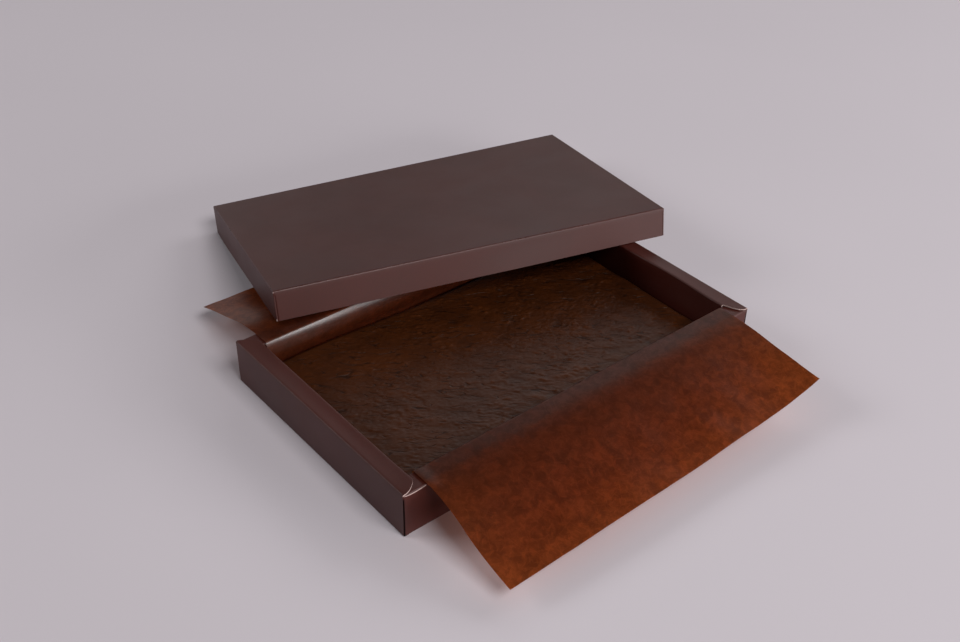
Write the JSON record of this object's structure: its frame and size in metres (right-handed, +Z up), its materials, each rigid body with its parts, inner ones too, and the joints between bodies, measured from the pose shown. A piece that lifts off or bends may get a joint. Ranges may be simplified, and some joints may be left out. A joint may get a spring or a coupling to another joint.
{
  "type": "praline box",
  "caption": "Shallow folded-card praline box with hollow walls, a glassine liner hanging out over its long sides, a crinkled cushion pad and a lift-off lid leaning on the rim.",
  "frame": {"origin": "middle of the tray's underside, on the surface that the box stands on", "axes": "+Z up, +X along the tray's long sides, +Y towards the side that the lid leans on"},
  "size_m": [0.3007, 0.3581, 0.0448],
  "materials": {
    "card": "dark brown coated card, matt to satin",
    "liner_paper": "brown translucent glassine, soft gloss",
    "pad_paper": "dark brown creped paper, matt"
  },
  "bodies": {
    "root": {"tray": "card", "lid": "card", "liner": "liner_paper", "pad": "pad_paper"}
  },
  "joints": []
}
